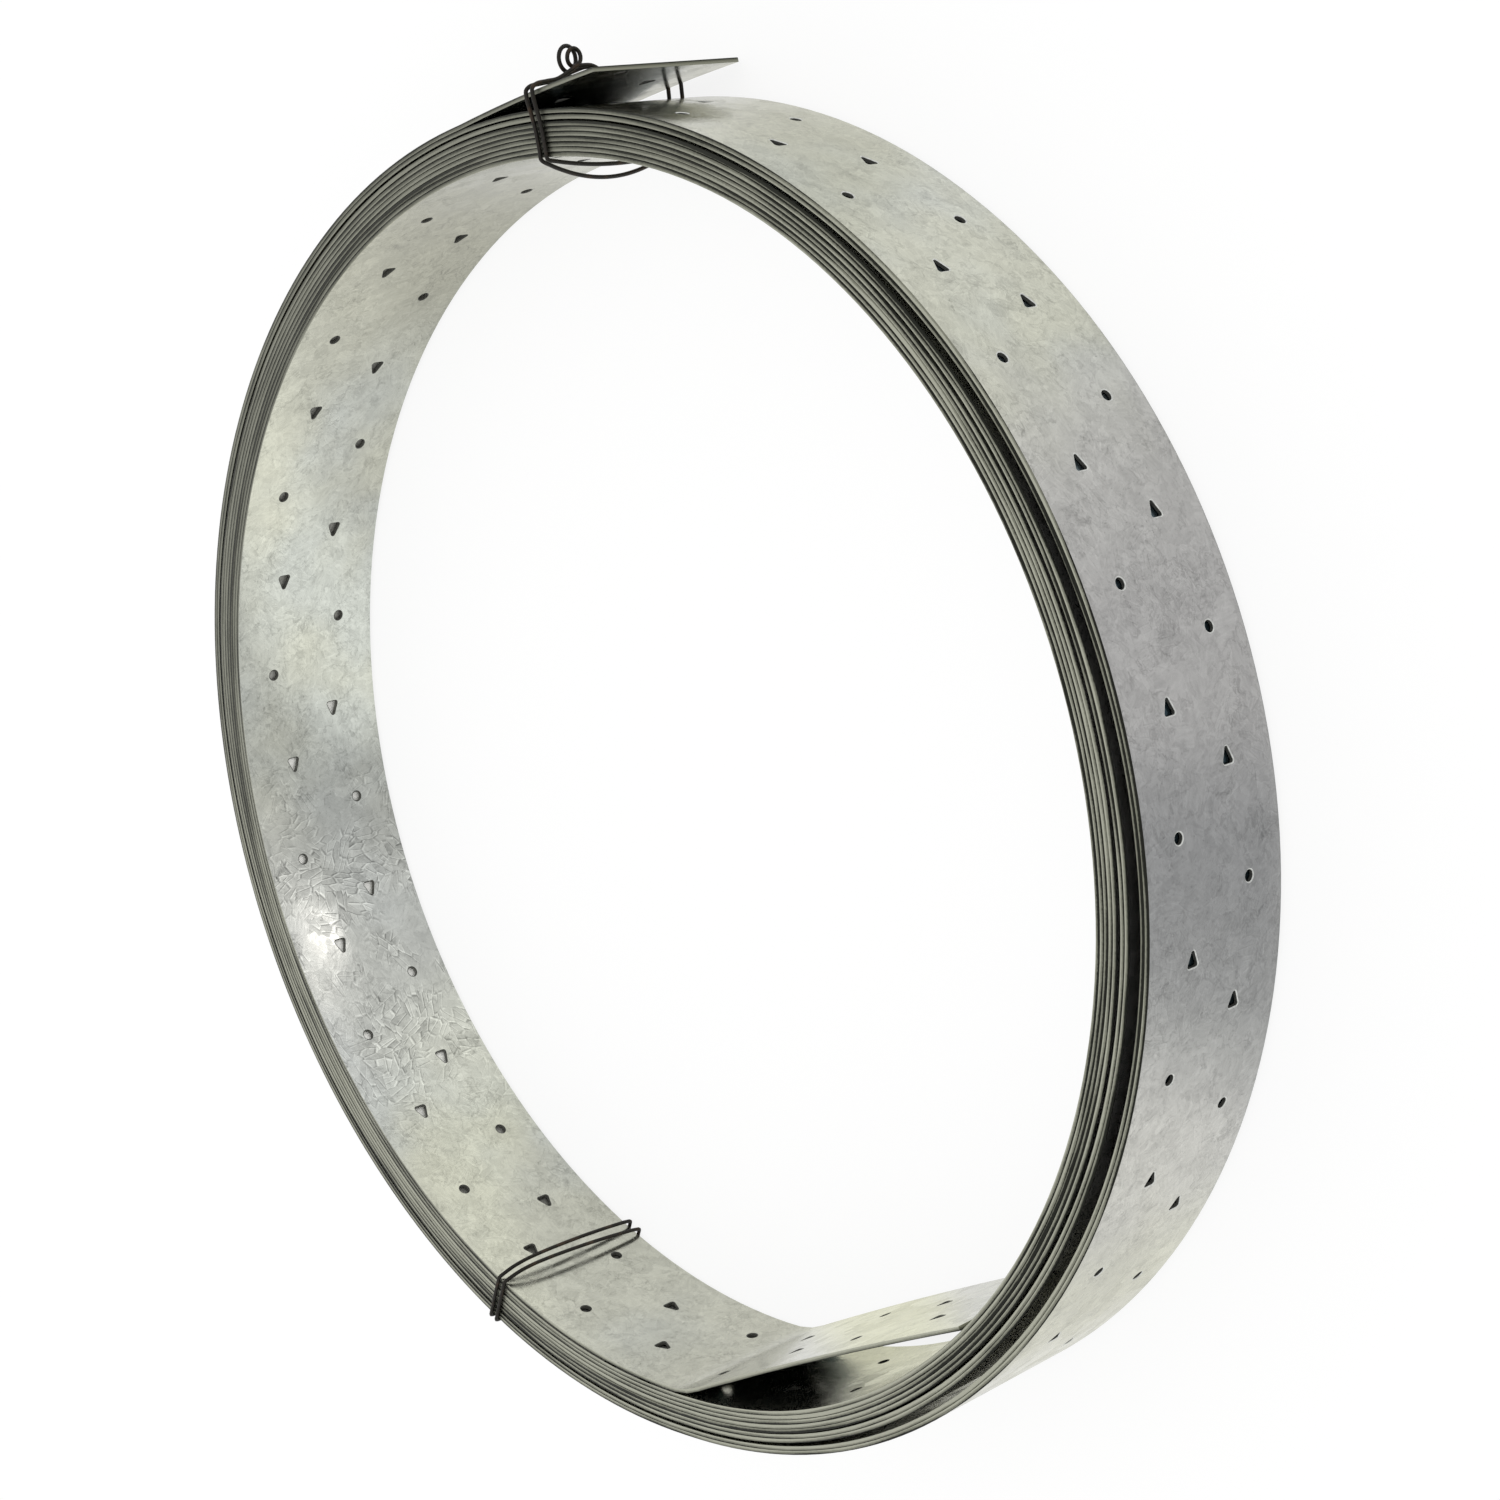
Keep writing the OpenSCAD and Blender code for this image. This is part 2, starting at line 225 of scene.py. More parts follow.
innerFlat, nearBurr, outerFlat = 0, 1, 6  # where these start on the section
# what a face shows, in the order of the finishes
faceMark, edgeMark, rimHoleMark, boreHoleMark, coverShadeMark, rimLipMark, boreLipMark, underShadeMark = range(8)


def stationsAlong(start, step, count):  # three columns to a hole, the hole in the middle one
    return [start + (k - 1) * step / 3 - step / 6 for k in range(count * 3)]


def strapMesh():
    section = strapSection()
    rings = len(section)
    firstHole = (bendLength - strap["bendHole"]) % strap["cell"]
    firstKind = (3 - round((bendLength - strap["bendHole"] - firstHole) / strap["cell"])) % 4
    turnLength = 2 * math.pi * strap["bore"]
    innerCount = int((bendLength + turnLength) / strap["cell"]) + 2
    outerCount = int((strap["tailLength"] + turnLength * strap["outerTurns"]) / strap["cell"]) + 2
    lastHole = fullLength - strap["endHole"]
    firstOuter = lastHole - (outerCount - 1) * strap["outerCell"]
    inner = stationsAlong(firstHole, strap["cell"], innerCount)
    inner = [s for s in inner if s > strap["endMargin"]]
    outer = stationsAlong(firstOuter, strap["outerCell"], outerCount + 1)
    outer = [s for s in outer if s < fullLength - strap["endMargin"]]
    between = np.linspace(inner[-1], outer[0], int((outer[0] - inner[-1]) / (strap["cell"] / 3)) + 1)[1:-1]
    stations = np.array([0.0] + inner + list(between) + outer + [fullLength])
    centres = (stations[1:] + stations[:-1]) / 2
    pierced = {}
    for i in range(innerCount):
        pierced[int(np.argmin(abs(centres - firstHole - i * strap["cell"])))] = (firstKind + i) % 4
    for j in range(outerCount):
        pierced[int(np.argmin(abs(centres - lastHole + j * strap["outerCell"])))] = (3 - j) % 4
    coverFrom, coverTo = [fullLength - turnLength * turns for turns in strap["coverTurns"]]
    coverFrom -= strap["tailLength"]
    underFrom, underTo = [bendLength + turnLength * turns for turns in strap["underTurns"]]
    where = [(s, depth, high) for s in stations for depth, high in section]
    faces, marks, sides = [], [], []
    panels = {}
    for column in range(len(stations) - 1):
        here, there = column * rings, (column + 1) * rings
        covered = coverFrom < centres[column] < coverTo or centres[column] < bendLength
        under = underFrom < centres[column] < underTo
        for k in range(rings):
            k2 = (k + 1) % rings
            flat = k in (innerFlat, outerFlat)
            if flat and column in pierced:
                continue
            faces.append((here + k, there + k, there + k2, here + k2))
            bright = k == nearBurr and centres[column] < underFrom
            mark = faceMark if flat or bright else edgeMark
            # faces covered by the next turn, and the chord's back, take a dark finish that is painted shade
            if covered and k == outerFlat:
                mark = coverShadeMark
            # the face behind the first turn, seen through its holes, takes painted shade, and is pale as
            # painted light where the glint falls
            elif under and k == innerFlat:
                mark = underShadeMark
            marks.append(mark)
            sides.append({innerFlat: -1, outerFlat: 1}.get(k, 0))
        if column not in pierced:
            continue
        kind, centre, outside = pierced[column], centres[column], column > len(stations) / 2
        half = (stations[column + 1] - stations[column]) / 2
        hole, drop, layers = holeOutline(kind), strap["lipDrop"], []
        count = len(hole)
        for depth, lipDepth, low, high in ((0.0, drop, innerFlat, innerFlat + 1),
                                           (strap["thick"], strap["thick"] - drop, outerFlat + 1, outerFlat)):
            if (kind, outside, low) not in panels:
                panels[kind, outside, low] = piercedPanel(kind, half, section[low][1], section[high][1])
            outline, triangles = panels[kind, outside, low]
            base = len(where)
            where += [(centre + u, depth, v) for u, v in outline]
            where += [(centre + u, lipDepth, v) for u, v in hole]
            corner = [here + low, there + low, there + high, here + high]
            for f in triangles:
                faces.append(tuple(corner[v] if v < 4 else base + v - 4 for v in f))
                # covered panels take the same painted shade
                marks.append(coverShadeMark if covered and high == outerFlat else faceMark)
                sides.append(-1 if low == innerFlat else 1)
            layers += [base, base + count] if low == innerFlat else [base + count, base]
        # the pale rim lips are a painted highlight, the dark bore lips painted shade
        bands = (boreLipMark, rimHoleMark, rimLipMark) if outside else (boreLipMark, boreHoleMark, faceMark)
        for mark, upper, lower in zip(bands, layers, layers[1:]):  # inner lip, wall, outer lip
            for i in range(count):
                i2 = (i + 1) % count
                faces.append((upper + i, upper + i2, lower + i2, lower + i))
                marks.append(mark)
                sides.append(0)
    last = (len(stations) - 1) * rings
    faces += [tuple(range(rings)), tuple(range(last, last + rings))]
    marks += [edgeMark, edgeMark]
    sides += [0, 0]
    where = np.array(where)
    mesh = bpy.data.meshes.new("strapCoil")
    mesh.from_pydata(onStrap(where[:, 0], where[:, 1], where[:, 2]).tolist(), [], faces)
    mesh.polygons.foreach_set("material_index", marks)
    layout = mesh.uv_layers.new(name="strapRun").data
    for poly in mesh.polygons:
        for loop in poly.loop_indices:
            s, depth, high = where[mesh.loops[loop].vertex_index]
            layout[loop].uv = (s, high if marks[poly.index] in (faceMark, coverShadeMark, underShadeMark) else depth)
    facing = bmesh.new()  # turns every face outward
    facing.from_mesh(mesh)
    bmesh.ops.recalc_face_normals(facing, faces=facing.faces)
    facing.to_mesh(mesh)
    facing.free()
    mesh.shade_smooth()
    mesh.set_sharp_from_angle(angle=math.radians(strap["sharp"]))
    normals = [tuple(corner.vector) for corner in mesh.corner_normals]
    for poly in mesh.polygons:
        for loop in poly.loop_indices if sides[poly.index] else ():
            along = where[mesh.loops[loop].vertex_index][0]
            index = int(np.interp(along, runLength, np.arange(len(runLength))))
            way = runOut[index] * sides[poly.index]
            normals[loop] = (way[0], way[1], 0.0)
    mesh.normals_split_custom_set(normals)
    print("strap mesh", len(mesh.polygons), "faces,", len(pierced), "holes")
    return mesh


# the two tie wires
wire = {"radius": 0.85 * mm, "clear": 0.12 * mm, "ease": 0.4 * mm, "sides": 12, "pitch": 0.7 * mm,
        "sharp": 50, "corner": 3 * mm, "lapRun": 12 * mm}  # room for a bend, straight run before the hook
upperTie = {
    "at": -7.6, "half": 1.9 * mm, "slant": 3.6 * mm, "farLeft": 6.6 * mm, "farRight": 1.2 * mm,
    "slack": 8.8 * mm, "tight": 3.8 * mm, "sagSteps": 7,
    "hook": 6 * mm, "hookAside": 3 * mm, "lap": 1.8 * mm, "bight": 3.6 * mm, "bightLift": 1.2 * mm,
    "shank": 3.5 * mm, "shankAside": 1.12 * mm,
    "eyeDown": 21 * mm, "eyeWide": 9.5 * mm, "eyeHigh": 10.5 * mm, "eyeLift": 5 * mm,
    "eyeAside": 0.9 * mm, "eyeDrift": 2.2 * mm, "eyeTurns": range(10, 341, 22), "innerEye": 0.62,
    "spring": 1.8 * mm, "bulge": 1 * mm,
}
lowerTie = {
    "at": 197.3, "half": 1.9 * mm, "farLeft": 0.5 * mm, "farRight": -5.9 * mm,
    "hook": 6 * mm, "hookAside": 0.9 * mm, "lap": 1.8 * mm, "bight": 3 * mm,
    "rise": 4.8 * mm,  # off the bore: (part of the way across, part of the rise)
    "riseSteps": [(0.03, 0.3), (0.09, 0.66), (0.18, 0.94), (0.3, 1.05),
                  (0.45, 1.05), (0.65, 0.94), (0.85, 0.7), (0.98, 0.45)],
}


def smoothRoute(points, pitch):  # a spline through the points, in even steps
    p = np.array([tuple(v) for v in points])
    p = np.vstack([2 * p[0] - p[1], p, 2 * p[-1] - p[-2]])
    knots = np.concatenate([[0], np.cumsum(np.linalg.norm(np.diff(p, axis=0), axis=1) ** 0.5)])
    out = []
    for i in range(1, len(p) - 2):
        t0, t1, t2, t3 = knots[i - 1:i + 3]
        steps = max(2, int(np.linalg.norm(p[i + 1] - p[i]) / pitch))
        for t in np.linspace(t1, t2, steps, endpoint=False):
            a1 = (t1 - t) / (t1 - t0) * p[i - 1] + (t - t0) / (t1 - t0) * p[i]
            a2 = (t2 - t) / (t2 - t1) * p[i] + (t - t1) / (t2 - t1) * p[i + 1]
            a3 = (t3 - t) / (t3 - t2) * p[i + 1] + (t - t2) / (t3 - t2) * p[i + 2]
            b1 = (t2 - t) / (t2 - t0) * a1 + (t - t0) / (t2 - t0) * a2
            b2 = (t3 - t) / (t3 - t1) * a2 + (t - t1) / (t3 - t1) * a3
            out.append((t2 - t) / (t2 - t1) * b1 + (t - t1) / (t2 - t1) * b2)
    out.append(p[-2])
    return [Vector(v) for v in out]


def wireMesh(name, points):
    route = smoothRoute(points, wire["pitch"])
    sides = wire["sides"]
    verts, faces = [], []
    way = (route[1] - route[0]).normalized()
    side = way.orthogonal().normalized()
    for i, p in enumerate(route):
        ahead = (route[min(i + 1, len(route) - 1)] - route[max(i - 1, 0)]).normalized()
        side = way.rotation_difference(ahead) @ side
        side = (side - ahead * side.dot(ahead)).normalized()
        way = ahead
        other = way.cross(side)
        for k in range(sides):
            sine, cosine = turned(360 * k / sides)
            verts.append(p + (side * cosine + other * sine) * wire["radius"])
    for i in range(len(route) - 1):
        for k in range(sides):
            k2 = (k + 1) % sides
            faces.append((i * sides + k, i * sides + k2, (i + 1) * sides + k2, (i + 1) * sides + k))
    faces += [tuple(reversed(range(sides))), tuple((len(route) - 1) * sides + k for k in range(sides))]
    mesh = bpy.data.meshes.new(name)
    mesh.from_pydata(verts, [], faces)
    mesh.shade_smooth()
    mesh.set_sharp_from_angle(angle=math.radians(wire["sharp"]))
    print(name, len(faces), "faces")
    return mesh


def onTie(tie, along, down, out):  # along the rim, down from the near end, out from the axis
    flat = around(tie["at"], out, along)
    return Vector((flat.x, flat.y, strapHigh.z - down))


def outerFace(deg):
    index = int(round((deg - strap["bendAt"]) / 360 * strap["stepsPerTurn"]))
    return radii[index] + strap["thick"]


def upperRoute():
    tie, off = upperTie, wire["radius"] + wire["clear"]
    middle, width = strap["width"] / 2, strap["width"]
    axis = around(tie["at"], 0)
    tailTop = run[-len(tail):] + runOut[-len(tail):] * strap["thick"] - np.array(axis)
    tailOut, tailAlong = [tailTop @ np.array(around(tie["at"], *step) - axis) for step in ((1, 0), (0, 1))]

    def top(along):  # over the sprung tail
        return float(np.interp(along, tailAlong, tailOut)) + off

    bore = boreFace(360 + tie["at"]) - off

    def half(side):
        a, h, lap = side * tie["shankAside"], tie["hook"], tie["lap"]
        far = tie["farRight"] if side > 0 else -tie["farLeft"]
        near = side * tie["half"]
        foot = near + tie["slant"]
        w = side * tie["hookAside"]
        points = [(w, middle - h, top(w) + 2 * lap), (w, middle + h, top(w) + 2 * lap),
                  ((w + a) / 2, middle + h + lap, top(w) + lap), (a, middle + h, top(a) + wire["ease"]),
                  (a, middle - 1 * mm, top(a) + tie["shank"]),
                  (a, tie["eyeDown"] + tie["eyeWide"], top(a) + tie["eyeLift"] + tie["shank"] * 0.5)]
        size = tie["innerEye"] if side > 0 else 1.0
        for turn in tie["eyeTurns"]:
            drift = side * (tie["eyeAside"] + tie["eyeDrift"] * turn / 360)
            points.append((drift, tie["eyeDown"] - tie["eyeWide"] / 2 * size * turned(turn)[0],
                           top(drift) + tie["eyeLift"] + tie["eyeHigh"] / 2 * (1 - size * turned(turn)[1])))
        spring, bulge = tie["spring"], tie["bulge"]
        points += [(near, 12 * mm, top(near) + spring * 1.4), (near, 6 * mm, top(near) + spring),
                   (near, 0.6 * mm, top(near) + spring * 0.6),
                   (near, -off - bulge * 0.7, top(near) - 0.5 * mm),
                   (near + tie["slant"] * 0.1, -off - bulge, top(near) - 3.5 * mm),
                   (near + tie["slant"] * 0.6, -off - bulge * 0.2, (top(near) + bore) / 2),
                   (foot, -off, bore + wire["corner"]), (foot, -off * 0.8, bore + off * 0.3)]
        sag, steps = tie["tight"] if side > 0 else tie["slack"], tie["sagSteps"]
        for i in range(1 - steps, steps):
            t = i / steps
            points.append((foot + (far - foot) * (t + 1) / 2, middle + t * (middle + off),
                           bore - sag * (1 - t * t)))
        points += [(far, width + off * 0.8, bore + off * 0.3), (far, width + off, bore + wire["corner"]),
                   (far, width + off, top(far) - wire["corner"]),
                   (far, width + off * 0.8, top(far) - off * 0.4),
                   (far, width - 1 * mm, top(far)), (far, middle + h + wire["lapRun"], top(far))]
        b = side * tie["bight"]
        return points + [(b, middle + h, top(b) + wire["ease"]), (b * 0.9, middle + 1 * mm, top(b) + 1 * mm)]

    whole = half(-1) + [(0, middle - 0.8 * mm, top(0) + tie["bightLift"])] + half(1)[::-1]
    return [onTie(tie, *p) for p in whole]


def lowerRoute():
    tie, off = lowerTie, wire["radius"] + wire["clear"]
    top = outerFace(tie["at"] + 360 * strap["turns"]) + off
    bore = boreFace(tie["at"]) - off
    middle, width = strap["width"] / 2, strap["width"]

    def half(side):
        a, h, lap = side * tie["hookAside"], tie["hook"], tie["lap"]
        far = tie["farLeft"] if side > 0 else tie["farRight"]
        near = side * tie["half"]
        points = [(a, middle - h, top + 2 * lap), (a, middle + h, top + 2 * lap),
                  (a, middle + h + lap, top + lap), (a, middle + h, top + wire["ease"]),
                  (a, middle + h - 4 * mm, top + wire["ease"] * 0.3),
                  (a, middle - h, top), (near, 9 * mm, top), (near, 1 * mm, top),
                  (near, -off * 0.8, top - off * 0.4), (near, -off, top - wire["corner"]),
                  (near, -off, bore + wire["corner"]), (near, -off * 0.8, bore + off * 0.3)]
        for t, up in tie["riseSteps"]:
            points.append((near + (far - near) * t, t * width, bore - tie["rise"] * up))
        points += [(far, width + off * 0.8, bore - tie["rise"] * 0.28), (far, width + off, bore + 0.5 * mm),
                   (far, width + off, bore + wire["corner"]), (far, width + off, top - wire["corner"]),
                   (far, width + off * 0.8, top - off * 0.4), (far, width - 1 * mm, top),
                   (far, middle + h + wire["lapRun"], top)]
        b = side * tie["bight"]
        return points + [(b, middle + h, top + wire["ease"]), (b * 0.9, middle + 1 * mm, top + lap * 0.8)]

    whole = half(-1) + [(0, middle - 0.8 * mm, top + tie["lap"])] + half(1)[::-1]
    return [onTie(tie, *p) for p in whole]


def place(mesh, node, materials):
    piece = bpy.data.objects.new(mesh.name, mesh)
    bpy.context.scene.collection.objects.link(piece)
    for material in materials:
        mesh.materials.append(material)
    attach(piece, "root")
    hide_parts(node)


class Tone:  # a socket that can be reckoned with
    def __init__(self, finish, socket):
        self.finish, self.socket = finish, socket

    def reckon(self, operation, first, second):
        return self.finish.add("ShaderNodeMath", {"operation": operation}, {0: first, 1: second})

    def __add__(self, other):
        return self.reckon("ADD", self, other)

    def __radd__(self, other):
        return self.reckon("ADD", other, self)

    def __sub__(self, other):
        return self.reckon("SUBTRACT", self, other)

    def __rsub__(self, other):
        return self.reckon("SUBTRACT", other, self)

    def __mul__(self, other):
        return self.reckon("MULTIPLY", self, other)

    def __rmul__(self, other):
        return self.reckon("MULTIPLY", other, self)

    def __truediv__(self, other):
        return self.reckon("DIVIDE", self, other)

    def __rtruediv__(self, other):
        return self.reckon("DIVIDE", other, self)

    def __pow__(self, other):
        return self.reckon("POWER", self, other)

    def __rpow__(self, other):
        return self.reckon("POWER", other, self)

    def __abs__(self):
        return self.finish.add("ShaderNodeMath", {"operation": "ABSOLUTE"}, {0: self})


class Finish:  # a material, world or floor put together from nodes
    def __init__(self, owner):
        owner.use_nodes = True
        self.owner, self.tree = owner, owner.node_tree
        self.surface = self.tree.nodes.get("Principled BSDF")

    def add(self, kind, settings=None, inputs=None, output=0):
        node = self.tree.nodes.new(kind)
        for name, value in (settings or {}).items():
            setattr(node, name, value)
        for name, value in (inputs or {}).items():
            self.feed(node.inputs[name], value)
        return Tone(self, node.outputs[output])

    def feed(self, socket, value):
        if isinstance(value, Tone):
            self.tree.links.new(value.socket, socket)
        elif isinstance(value, tuple) and len(value) == 3 and socket.type == "RGBA":
            socket.default_value = value + (1,)
        else:
            socket.default_value = value

    def set(self, **values):  # BaseColor stands for the socket "Base Color"
        for name, value in values.items():
            spaced = "".join(" " + c if c.isupper() and i else c for i, c in enumerate(name))
            self.feed(self.surface.inputs[spaced], value)

    def blend(self, factor, first, second, way="MIX"):
        return self.add("ShaderNodeMix", {"data_type": "RGBA", "blend_type": way},
                        {0: factor, 6: first, 7: second}, 2)  # its colour sockets

    def vector(self, operation, first, second):
        return self.add("ShaderNodeVectorMath", {"operation": operation}, {0: first, 1: second})

    def between(self, value, low, high):  # 0 below low, 1 above high
        return self.add("ShaderNodeMapRange", {"interpolation_type": "SMOOTHSTEP"},
                        {"Value": value, "From Min": low, "From Max": high})

    def noise(self, vector, scale, detail=2.0, rough=0.5, flat="2D"):
        return self.add("ShaderNodeTexNoise", {"noise_dimensions": flat},
                        {"Vector": vector, "Scale": scale, "Detail": detail, "Roughness": rough})

    def grain(self, vector, scale, output="Color", feature="F1"):
        return self.add("ShaderNodeTexVoronoi", {"voronoi_dimensions": "2D", "feature": feature},
                        {"Vector": vector, "Scale": scale}, output)

    def run(self):
        return self.add("ShaderNodeUVMap", {"uv_map": "strapRun"})

    def place(self):
        return self.add("ShaderNodeNewGeometry", None, None, "Position")

    def parts(self, vector):
        node = self.add("ShaderNodeSeparateXYZ", None, {0: vector}).socket.node
        return [Tone(self, node.outputs[i]) for i in range(3)]

    def spun(self, vector, part):  # turned by a part of a full turn
        return self.add("ShaderNodeVectorRotate", {"rotation_type": "Z_AXIS"},
                        {"Vector": vector, "Angle": part * fullTurn})

    def toward(self, vector, deg):  # about 1 on the bore at these degrees, less away from it
        sine, cosine = turned(deg)
        x, y = self.parts(vector)[:2]
        return (x * sine + (y - axisY) * cosine) / strap["bore"]

    def bump(self, height, distance):
        return self.add("ShaderNodeBump", None, {"Height": height, "Distance": distance, "Strength": 1.0})


def newFinish(name):
    return Finish(bpy.data.materials.new(name))


# galvanized sheet: zinc crystals, faint stains, fine veins, rub marks, with painted shade on the right of the
# coil and a painted highlight on the crystals where the glint falls
zincTones = {
    # the darker tone and its place on the right of the coil are painted shade
    "warm": (0.522, 0.527, 0.45), "cool": (0.502, 0.523, 0.49), "dull": (0.47, 0.467, 0.45), "paintedShadeAt": 82,
    "yellow": (0.455, 0.45, 0.355), "yellowAt": (-24, 152), "yellowPart": 0.8,
    "metallic": 0.95, "roughness": 0.2, "relief": 0.04 * mm,
    "warp": 150, "warpBy": (0.009, 0.009, 0),  # bends the crystals' outlines
    "grain": 118, "fineGrain": 330, "feather": (820, 150, 1), "rub": (14, 420, 1),
    "cloud": 9, "stain": 34, "speck": 700,
    "crack": 62, "crackWide": (0.004, 0.034), "fineCrack": 165, "fineCrackWide": (0.008, 0.06), "fineAt": 60,
    # how much each of them lightens or darkens
    "crystalBy": 0.1, "smallBy": 0.12, "featherBy": 0.28, "stainBy": 0.2, "rubBy": 0.08,
    "outlineBy": 0.05, "veinBy": 0.17, "fineVeinBy": 0.15, "speckBy": 0.22,
    # long crystals with a dark and a bright outline, most of them low on the left of the bore where the glint
    # falls: their pale outlines there are a painted highlight
    "leafGrain": 84, "leaf": (330, 112, 1), "leafAside": (0.1, 0.1, 0), "leafLine": (0.02, 0.11),
    "glintSideAt": 238, "leafSpots": 30, "leafElsewhere": 0.18,
    "glintSideTint": (0.495, 0.508, 0.495), "glintSideTintPart": 0.7,
    "leafPaleBy": 0.38, "leafDarkBy": 0.4, "leafToneBy": 0.36,
}


def veins(f, where, scale, wide):
    return 1 - f.between(abs(f.noise(where, scale, 4, 0.62) - 0.5), *wide)


# crystal outlines, strong where the glint falls: the pale ones are a painted highlight
def leafAndGlintSparkle(f, uv, spot, glintSide):
    tones = zincTones
    run = f.spun(uv, f.parts(f.grain(uv, tones["leafGrain"]))[0])
    needles = f.vector("MULTIPLY", run, tones["leaf"])
    beside = f.vector("ADD", needles, tones["leafAside"])
    dark, pale = [1 - f.between(f.grain(at, 1.0, "Distance", "DISTANCE_TO_EDGE"), *tones["leafLine"])
                  for at in (needles, beside)]
    tone = f.parts(f.grain(needles, 1.0))[1]
    near = glintSide * (1 - tones["leafElsewhere"]) + tones["leafElsewhere"]
    near = near * f.between(f.noise(spot, tones["leafSpots"], 3, 0.6, "3D"), 0.38, 0.56)
    outlines = pale * tones["leafPaleBy"] - dark * tones["leafDarkBy"]
    return near * (outlines + (tone - 0.5) * tones["leafToneBy"])


def zincFinish():
    f, tones = newFinish("galvanizedFace"), zincTones
    uv, spot = f.run(), f.place()
    warp = f.add("ShaderNodeTexNoise", {"noise_dimensions": "2D"},
                 {"Vector": uv, "Scale": tones["warp"], "Detail": 3}, "Color")
    bent = f.vector("ADD", uv, f.vector("MULTIPLY", warp, tones["warpBy"]))
    crystal = f.parts(f.grain(bent, tones["grain"]))
    small = f.parts(f.grain(bent, tones["fineGrain"]))
    edge = f.grain(bent, tones["grain"], "Distance", "DISTANCE_TO_EDGE")
    feather = f.noise(f.vector("MULTIPLY", f.spun(uv, crystal[0]), tones["feather"]), 1.0, 3, 0.55)
    cloud = f.noise(spot, tones["cloud"], 3, 0.55, "3D")
    stain = f.noise(spot, tones["stain"], 4, 0.6, "3D")
    rub = f.noise(f.vector("MULTIPLY", uv, tones["rub"]), 1.0, 2, 0.5)
    vein = veins(f, bent, tones["crack"], tones["crackWide"]) * f.between(stain, 0.36, 0.58)
    fineVein = veins(f, bent, tones["fineCrack"], tones["fineCrackWide"])
    fineVein = fineVein * f.between(f.noise(spot, tones["fineAt"], 3, 0.6, "3D"), 0.48, 0.62)
    speck = f.between(f.noise(uv, tones["speck"], 2, 0.6), 0.66, 0.74) * f.between(cloud, 0.4, 0.6)
    # the side of the bore where the glint falls, for the painted highlight on the crystals and a cooler tint
    glintSide = f.between(f.toward(spot, tones["glintSideAt"]), 0.91, 0.995)
    # the tint differs round the coil: darker on the right, which is painted shade, and yellower at two places
    uneven = (cloud - 0.5) * 0.3
    base = f.blend(f.between(cloud, 0.44, 0.66), tones["warm"], tones["cool"])
    base = f.blend(f.between(f.toward(spot, tones["paintedShadeAt"]) + uneven, 0.78, 0.96), base, tones["dull"])
    base = f.blend(glintSide * tones["glintSideTintPart"], base, tones["glintSideTint"])
    for deg in tones["yellowAt"]:
        near = f.between(f.toward(spot, deg) + uneven, 0.8, 1.0)
        base = f.blend(near * tones["yellowPart"], base, tones["yellow"])
    light = 1.0 + (crystal[1] - 0.5) * tones["crystalBy"] + (small[1] - 0.5) * tones["smallBy"]
    light = light + (feather - 0.5) * tones["featherBy"] + (stain - 0.5) * tones["stainBy"]
    light = light + (rub - 0.5) * tones["rubBy"] + (1 - f.between(edge, 0.0, 0.05)) * tones["outlineBy"]
    light = light + leafAndGlintSparkle(f, uv, spot, glintSide)
    light = light - vein * tones["veinBy"] - fineVein * tones["fineVeinBy"] - speck * tones["speckBy"]
    grey = f.add("ShaderNodeCombineColor", None, {0: light, 1: light, 2: light})
    f.set(BaseColor=f.blend(1.0, base, grey, "MULTIPLY"), Metallic=tones["metallic"],
          Roughness=tones["roughness"] + (crystal[2] - 0.5) * 0.1 + (stain - 0.5) * 0.14,
          Normal=f.bump(feather * 0.6 + crystal[1] * 0.4, tones["relief"]))
    return f.owner


edgeTones = {
    # across the edge: bright at the inner corner, a painted highlight, and near black toward the outer face,
    # painted shade of the gap between turns
    "bright": (0.4, 0.405, 0.33), "middle": (0.2, 0.203, 0.16), "dark": (0.012, 0.013, 0.009),
    # the edges' painted shade on the left of the coil
    "dull": (0.052, 0.053, 0.043), "paintedShadeAt": 318, "paintedShadePart": 0.42,
    "streak": (60, 2600, 1), "nick": (900, 700, 1),
    "patch": (2.6, 0, 0), "part": (17, 0, 0),  # differ from turn to turn
    "streakBy": 0.35, "nickBy": 0.25, "patchBy": 2.0, "partBy": 0.9,
    "metallic": 0.8, "roughness": 0.42, "relief": 0.04 * mm,
}


def edgeFinish():
    f, tones = newFinish("shearedEdge"), edgeTones
    uv = f.run()
    across = f.parts(uv)[1] / strap["thick"]
    streak = f.noise(f.vector("MULTIPLY", uv, tones["streak"]), 1.0, 3, 0.6)
    patch = f.noise(f.vector("MULTIPLY", uv, tones["patch"]), 1.0, 2, 0.5)
    nick = f.noise(f.vector("MULTIPLY", uv, tones["nick"]), 1.0, 3, 0.6)
    part = f.noise(f.vector("MULTIPLY", uv, tones["part"]), 1.0, 2, 0.5)
    line = across + (streak - 0.5) * tones["streakBy"] + (nick - 0.5) * tones["nickBy"]
    line = line + (patch - 0.5) * tones["patchBy"] + (part - 0.5) * tones["partBy"]
    # painted highlight at the inner corner, painted shade toward the outer face; the streaks and nicks are
    # the edge's own
    tone = f.blend(f.between(line, 0.1, 0.45), tones["bright"], tones["middle"])
    tone = f.blend(f.between(line, 0.52, 0.76), tone, tones["dark"])
    # painted shade: the edges are darker on the left of the coil
    dull = f.between(f.toward(f.place(), tones["paintedShadeAt"]) + (nick - 0.5) * 0.2, 0.2, 0.85)
    tone = f.blend(dull * tones["paintedShadePart"], tone, tones["dull"])
    f.set(BaseColor=tone, Metallic=tones["metallic"], Roughness=tones["roughness"] + (streak - 0.5) * 0.2,
          Normal=f.bump(streak, tones["relief"]))
    return f.owner


